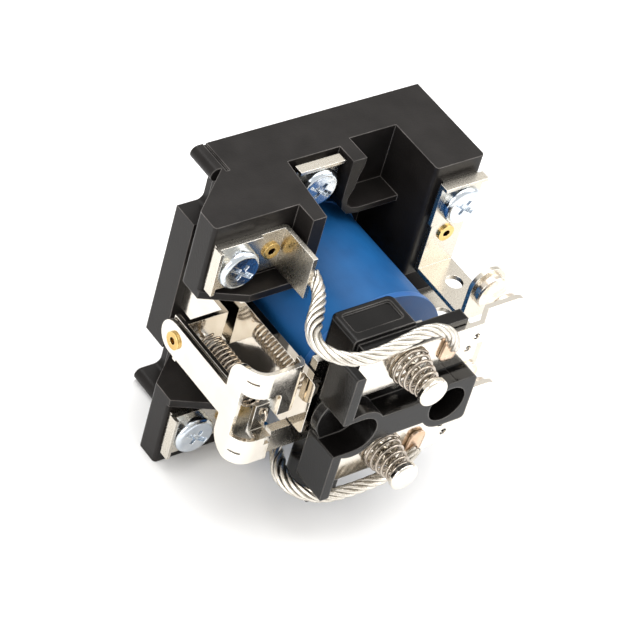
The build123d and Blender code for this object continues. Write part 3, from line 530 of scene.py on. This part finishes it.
def strand(path, index):
    """One strand: its middle goes round the braid's middle in a helix, and its outline is an oval with a
    ripple for each wire. The helix draws in at both ends and opens where the braid is loose. The third
    result is each point's crown, 1 on the strand's outer side and 0 on its inner side."""
    step = np.linalg.norm(np.diff(path, axis=0), axis=1)
    run = np.concatenate([[0.0], np.cumsum(step)])
    fine = np.linspace(0, run[-1], int(run[-1] / STRAND_STEP))
    path = smoothed(resampled(path, run, fine), STRAND_SMOOTHING)
    heading = np.gradient(path, axis=0)
    heading /= np.linalg.norm(heading, axis=1, keepdims=True)
    reference = np.full(3, 3 ** -0.5)
    lean = reference - heading * (heading @ reference)[:, None]
    lean /= np.linalg.norm(lean, axis=1, keepdims=True)
    square = np.cross(heading, lean)
    angle = 2 * np.pi * (fine / STRAND_LAY + index / STRANDS)
    ends = ease(fine / DRAWN_OVER) * ease((fine[-1] - fine) / DRAWN_OVER)
    loose = LOOSE_BY * np.exp(-((fine - LOOSE_AT) / LOOSE_OVER) ** 2)
    reach = STRAND_R * (DRAWN_IN + (1 - DRAWN_IN) * ends + loose)
    outward = lean * np.cos(angle)[:, None] + square * np.sin(angle)[:, None]
    turn = np.linspace(0, 2 * np.pi, 4 * WIRES_SEEN, endpoint=False)
    rope = np.tile(1.0 + RIPPLE * np.cos(2 * WIRES_SEEN * turn), (len(fine), 1))
    thick = STRAND_HALF[0] * np.cos(turn) * rope
    wide = STRAND_HALF[1] * np.sin(turn) * rope
    points, faces = swept(path + outward * reach[:, None], outward, thick, wide)
    crown = np.append(np.tile(0.5 + 0.5 * np.cos(turn), len(fine)), (0.0, 0.0))
    return points, faces, crown


def tinned():
    """Tinned copper strands: each strand's inner side, in the grooves between strands, is darkened with painted
    shade, and its outer side keeps the bright tin.
    """
    material, tree, shader, surface, edges = finish("tinned_copper", 500.0, 4200.0, 0.00012)
    shader.inputs["Metallic"].default_value = 1.0
    outside = add(tree, "ShaderNodeAttribute", attribute_name="crown").outputs["Fac"]
    tin = tint(tree, surface["Patches"], (0.86, 0.82, 0.75), (0.70, 0.65, 0.57))
    lit = add(tree, "ShaderNodeMapRange", {"Value": outside, "From Min": 0.30, "From Max": 0.72}).outputs[0]
    # painted shade: by the crown mask, the inner side of each strand is painted nearly black
    tree.links.new(tint(tree, lit, (0.10, 0.085, 0.065), tin), shader.inputs["Base Color"])
    tree.links.new(between(tree, surface["Grain"], 0.22, 0.40), shader.inputs["Roughness"])
    relief(tree, shader, surface["Grain"], 0.5, 0.00004, edges["Normal"])
    return material


TINNED = tinned()
FUSED = plated("fused_copper", colour=(0.80, 0.62, 0.47), shade=(0.62, 0.42, 0.28), bright=0.26, dull=0.46,
               edge=(0.90, 0.80, 0.70), wave=0.8)
# Middles of the weld on the tab and of the weld on the arm, for each pole.
WELDS = {"upper": ((-13.75, -29.0, 21.7), (7.6, -51.05, 12.9)),
         "lower": ((-13.75, -29.0, -21.6), (6.9, -51.05, -12.5))}
TAB_WELD, ARM_WELD = (5.2, 4.2, 1.1), (5.6, 3.8, 1.1)       # length, width and depth
WELD_RINGS, WELD_SIDES = 25, 48


def squared(x):
    """A cosine or sine raised to a power under 1, with its sign kept, which squares up the oval it draws."""
    return np.sign(x) * np.abs(x) ** 0.6


def weld(middle, run, flat, size):
    """A pressed end: an oval bar with squared sides, half its size at its two ends, ridged along its run.
    Its length lies along run and its depth along flat."""
    length, width, depth = size
    ridge, ridges_a_side = 0.10, 10
    along = np.linspace(-1, 1, WELD_RINGS)
    path = np.array(middle) + np.array(run) * along[:, None] * length / 2
    turn = np.linspace(0, 2 * np.pi, WELD_SIDES, endpoint=False)
    taper = (1 - np.abs(along) ** 6 * 0.5)[:, None]
    ridges = 1 + ridge * np.cos(ridges_a_side * np.pi * np.sin(turn))
    across = squared(np.cos(turn)) * depth / 2 * ridges * taper
    along_width = squared(np.sin(turn)) * width / 2 * taper
    return swept(path, np.tile(np.array(flat, float), (WELD_RINGS, 1)), across, along_width)


for side, route in ROUTES.items():
    line = centreline("route_" + side, route)
    strands = [strand(line, k) for k in range(STRANDS)]
    braid = piece("braid_strands_" + side, [shell[:2] for shell in strands], TINNED)
    crown = braid.data.attributes.new("crown", "FLOAT", "POINT")
    crown.data.foreach_set("value", np.concatenate([shell[2] for shell in strands]).astype(np.float32))
    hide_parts("braid_" + side)
    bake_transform(braid)
    at_tab, at_arm = WELDS[side]
    tab_weld = weld(at_tab, (0, 1, 0), (1, 0, 0), TAB_WELD)
    tab_end = piece("braid_weld_tab_" + side, [tab_weld], TINNED)
    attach(tab_end, "base")
    arm_weld = weld(at_arm, (0.12, 0, 1), (0, 1, 0), ARM_WELD)
    arm_end = piece("braid_weld_arm_" + side, [arm_weld], FUSED)
    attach(arm_end, "moving_arm_" + side)


# ---- Floor and studio light -------------------------------------------------------------------------
# The relay lies on the end of its moulding on a white table, in even light from large soft boxes.
FLOOR_HALF = 3.0
FLOOR_GAP = 0.0001
SKY_COLOUR, SKY_STRENGTH = (1.0, 0.985, 0.96, 1.0), 0.90
SOFT_BOXES = (                      # name, place, width and power in watts
    ("top_box", (0.10, 0.15, 1.00), 1.00, 9.0),
    ("left_box", (-0.90, -0.20, 0.45), 0.70, 5.0),
    ("right_box", (0.80, -0.45, 0.60), 0.70, 4.5),
)
floor_z = cad_box[0].z - FLOOR_GAP
corners = [(FLOOR_HALF * i, FLOOR_HALF * j, floor_z) for i, j in ((-1, -1), (1, -1), (1, 1), (-1, 1))]
floor_mesh = bpy.data.meshes.new("table")
floor_mesh.from_pydata(corners, [], [(0, 1, 2, 3)])
table = bpy.data.objects.new("table", floor_mesh)
bpy.context.scene.collection.objects.link(table)
paper, paper_tree, paper_shader, paper_surface, _ = finish("white_table", 8.0, 60.0, 0.0001)
paper_tree.links.new(tint(paper_tree, paper_surface["Patches"], (0.90, 0.90, 0.90), (0.93, 0.93, 0.93)),
                     paper_shader.inputs["Base Color"])
paper_shader.inputs["Roughness"].default_value = 0.8
floor_mesh.materials.append(paper)

sky = bpy.data.worlds.new("studio")
sky.use_nodes = True
glow = sky.node_tree.nodes["Background"].inputs
glow["Color"].default_value = SKY_COLOUR
glow["Strength"].default_value = SKY_STRENGTH
bpy.context.scene.world = sky

for name, place, width, watts in SOFT_BOXES:
    lamp = bpy.data.lights.new(name, "AREA")
    lamp.size = width
    lamp.energy = watts
    holder = bpy.data.objects.new(name, lamp)
    holder.location = place
    holder.rotation_mode = "QUATERNION"
    holder.rotation_quaternion = (-holder.location).to_track_quat("-Z", "Y")      # it faces the relay
    bpy.context.scene.collection.objects.link(holder)
